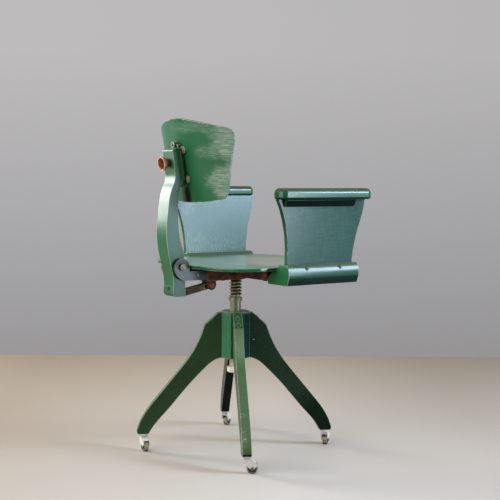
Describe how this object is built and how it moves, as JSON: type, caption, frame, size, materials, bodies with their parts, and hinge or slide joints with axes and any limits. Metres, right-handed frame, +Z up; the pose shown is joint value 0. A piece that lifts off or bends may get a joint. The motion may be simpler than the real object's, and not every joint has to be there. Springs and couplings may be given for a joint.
{
  "type": "swivel desk chair",
  "caption": "Swivel desk chair with a dished plywood seat, plywood arms, a bent backrest on a tilting upright and a splayed wooden base on castors.",
  "frame": {"origin": "on the floor, on the spindle's axis, at the height where the castor wheels touch", "axes": "+Z up along the spindle, -Y towards the front of the seat, -X towards the sitter's right"},
  "size_m": [0.536, 0.4565, 0.8228],
  "materials": {
    "green_painted_wood": "worn gloss paint",
    "green_painted_metal": "worn gloss paint",
    "grey_green_metal": "worn",
    "bronzed_steel": "tarnished",
    "bush_brass": "plain",
    "cream_paint": "worn gloss paint",
    "rust_red_iron": "rusted",
    "dark_iron": "blackened",
    "worn_steel": "worn",
    "copper_cup": "polished",
    "black_wheel": "plain",
    "beige_tread": "worn"
  },
  "bodies": {
    "base": {"hub_post": "green_painted_wood", "hub_top_plate": "grey_green_metal", "hub_sleeve": "bush_brass", "leg_1": "green_painted_wood", "leg_2": "green_painted_wood", "leg_3": "green_painted_wood", "leg_4": "green_painted_wood", "leg_screws": "green_painted_wood", "castor_plate_1": "cream_paint", "castor_plate_2": "cream_paint", "castor_plate_3": "cream_paint", "castor_plate_4": "cream_paint"},
    "spindle_column": {"spindle": "bronzed_steel", "spindle_cap": "cream_paint"},
    "seat": {"seat_iron": "rust_red_iron", "seat_panel": "green_painted_wood", "seat_bolts": "rust_red_iron", "link_front_pin": "dark_iron", "side_bar_right": "green_painted_metal", "side_bar_left": "green_painted_metal", "side_bar_screws": "worn_steel", "pivot_bolt": "worn_steel", "pivot_nut": "worn_steel", "arm_block_right": "green_painted_wood", "arm_panel_right": "green_painted_wood", "arm_cap_right": "green_painted_wood", "arm_batten_right": "green_painted_wood", "arm_block_left": "green_painted_wood", "arm_panel_left": "green_painted_wood", "arm_cap_left": "green_painted_wood", "arm_batten_left": "green_painted_wood", "arm_screws": "worn_steel"},
    "back_upright": {"upright": "green_painted_wood", "link_bracket": "dark_iron", "link_bracket_screw": "green_painted_metal", "link_rear_pin": "dark_iron", "clamp_bolt": "worn_steel", "clamp_washer": "worn_steel"},
    "tilt_link": {"link_bar": "dark_iron"},
    "backrest": {"back_bracket": "green_painted_metal", "bracket_bolts": "green_painted_metal", "backrest_panel": "green_painted_wood"},
    "knob": {"clamp_knob": "copper_cup"},
    "castor_1_swivel": {"castor_fork_1": "cream_paint", "castor_axle_1": "worn_steel"},
    "castor_1_roller": {"castor_wheel_1": "black_wheel", "castor_tread_1": "beige_tread"},
    "castor_2_swivel": {"castor_fork_2": "cream_paint", "castor_axle_2": "worn_steel"},
    "castor_2_roller": {"castor_wheel_2": "black_wheel", "castor_tread_2": "beige_tread"},
    "castor_3_swivel": {"castor_fork_3": "cream_paint", "castor_axle_3": "worn_steel"},
    "castor_3_roller": {"castor_wheel_3": "black_wheel", "castor_tread_3": "beige_tread"},
    "castor_4_swivel": {"castor_fork_4": "cream_paint", "castor_axle_4": "worn_steel"},
    "castor_4_roller": {"castor_wheel_4": "black_wheel", "castor_tread_4": "beige_tread"}
  },
  "joints": [
    {"name": "seat_height", "type": "slide", "parent": "base", "child": "spindle_column", "axis": [0, 0, 1], "range_m": [-0.025, 0.023]},
    {"name": "seat_swivel", "type": "hinge", "parent": "spindle_column", "child": "seat", "pos_m": [0, 0, 0.44], "axis": [0, 0, 1], "continuous": true},
    {"name": "back_tilt", "type": "hinge", "parent": "seat", "child": "back_upright", "pos_m": [0, 0.175, 0.468], "axis": [1, 0, 0], "range_deg": [-8, 4]},
    {"name": "link_swing", "type": "hinge", "parent": "back_upright", "child": "tilt_link", "pos_m": [0, 0.15, 0.404], "axis": [1, 0, 0], "range_deg": [-6, 11]},
    {"name": "backrest_height", "type": "slide", "parent": "back_upright", "child": "backrest", "axis": [0, 0.1564, 0.9877], "range_m": [0, 0.045]},
    {"name": "knob_turn", "type": "hinge", "parent": "back_upright", "child": "knob", "pos_m": [0, 0.20073, 0.71531], "axis": [0, 0.9877, -0.1564], "continuous": true},
    {"name": "castor_1_turn", "type": "hinge", "parent": "base", "child": "castor_1_swivel", "pos_m": [0.10559, 0.20545, 0.04], "axis": [0, 0, 1], "continuous": true},
    {"name": "castor_1_spin", "type": "hinge", "parent": "castor_1_swivel", "child": "castor_1_roller", "pos_m": [0.09222, 0.20733, 0.01325], "axis": [-0.1392, -0.9903, 0], "continuous": true},
    {"name": "castor_2_turn", "type": "hinge", "parent": "base", "child": "castor_2_swivel", "pos_m": [-0.20545, 0.10559, 0.04], "axis": [0, 0, 1], "continuous": true},
    {"name": "castor_2_spin", "type": "hinge", "parent": "castor_2_swivel", "child": "castor_2_roller", "pos_m": [-0.213, 0.0944, 0.01325], "axis": [0.829, -0.5592, 0], "continuous": true},
    {"name": "castor_3_turn", "type": "hinge", "parent": "base", "child": "castor_3_swivel", "pos_m": [-0.10559, -0.20545, 0.04], "axis": [0, 0, 1], "continuous": true},
    {"name": "castor_3_spin", "type": "hinge", "parent": "castor_3_swivel", "child": "castor_3_roller", "pos_m": [-0.09728, -0.21609, 0.01325], "axis": [0.788, 0.6157, 0], "continuous": true},
    {"name": "castor_4_turn", "type": "hinge", "parent": "base", "child": "castor_4_swivel", "pos_m": [0.20545, -0.10559, 0.04], "axis": [0, 0, 1], "continuous": true},
    {"name": "castor_4_spin", "type": "hinge", "parent": "castor_4_swivel", "child": "castor_4_roller", "pos_m": [0.212, -0.1174, 0.01325], "axis": [0.8746, 0.4848, 0], "continuous": true}
  ],
  "couplings": [
    {"joint": "link_swing", "follows": "back_tilt", "ratio": -1.2}
  ]
}
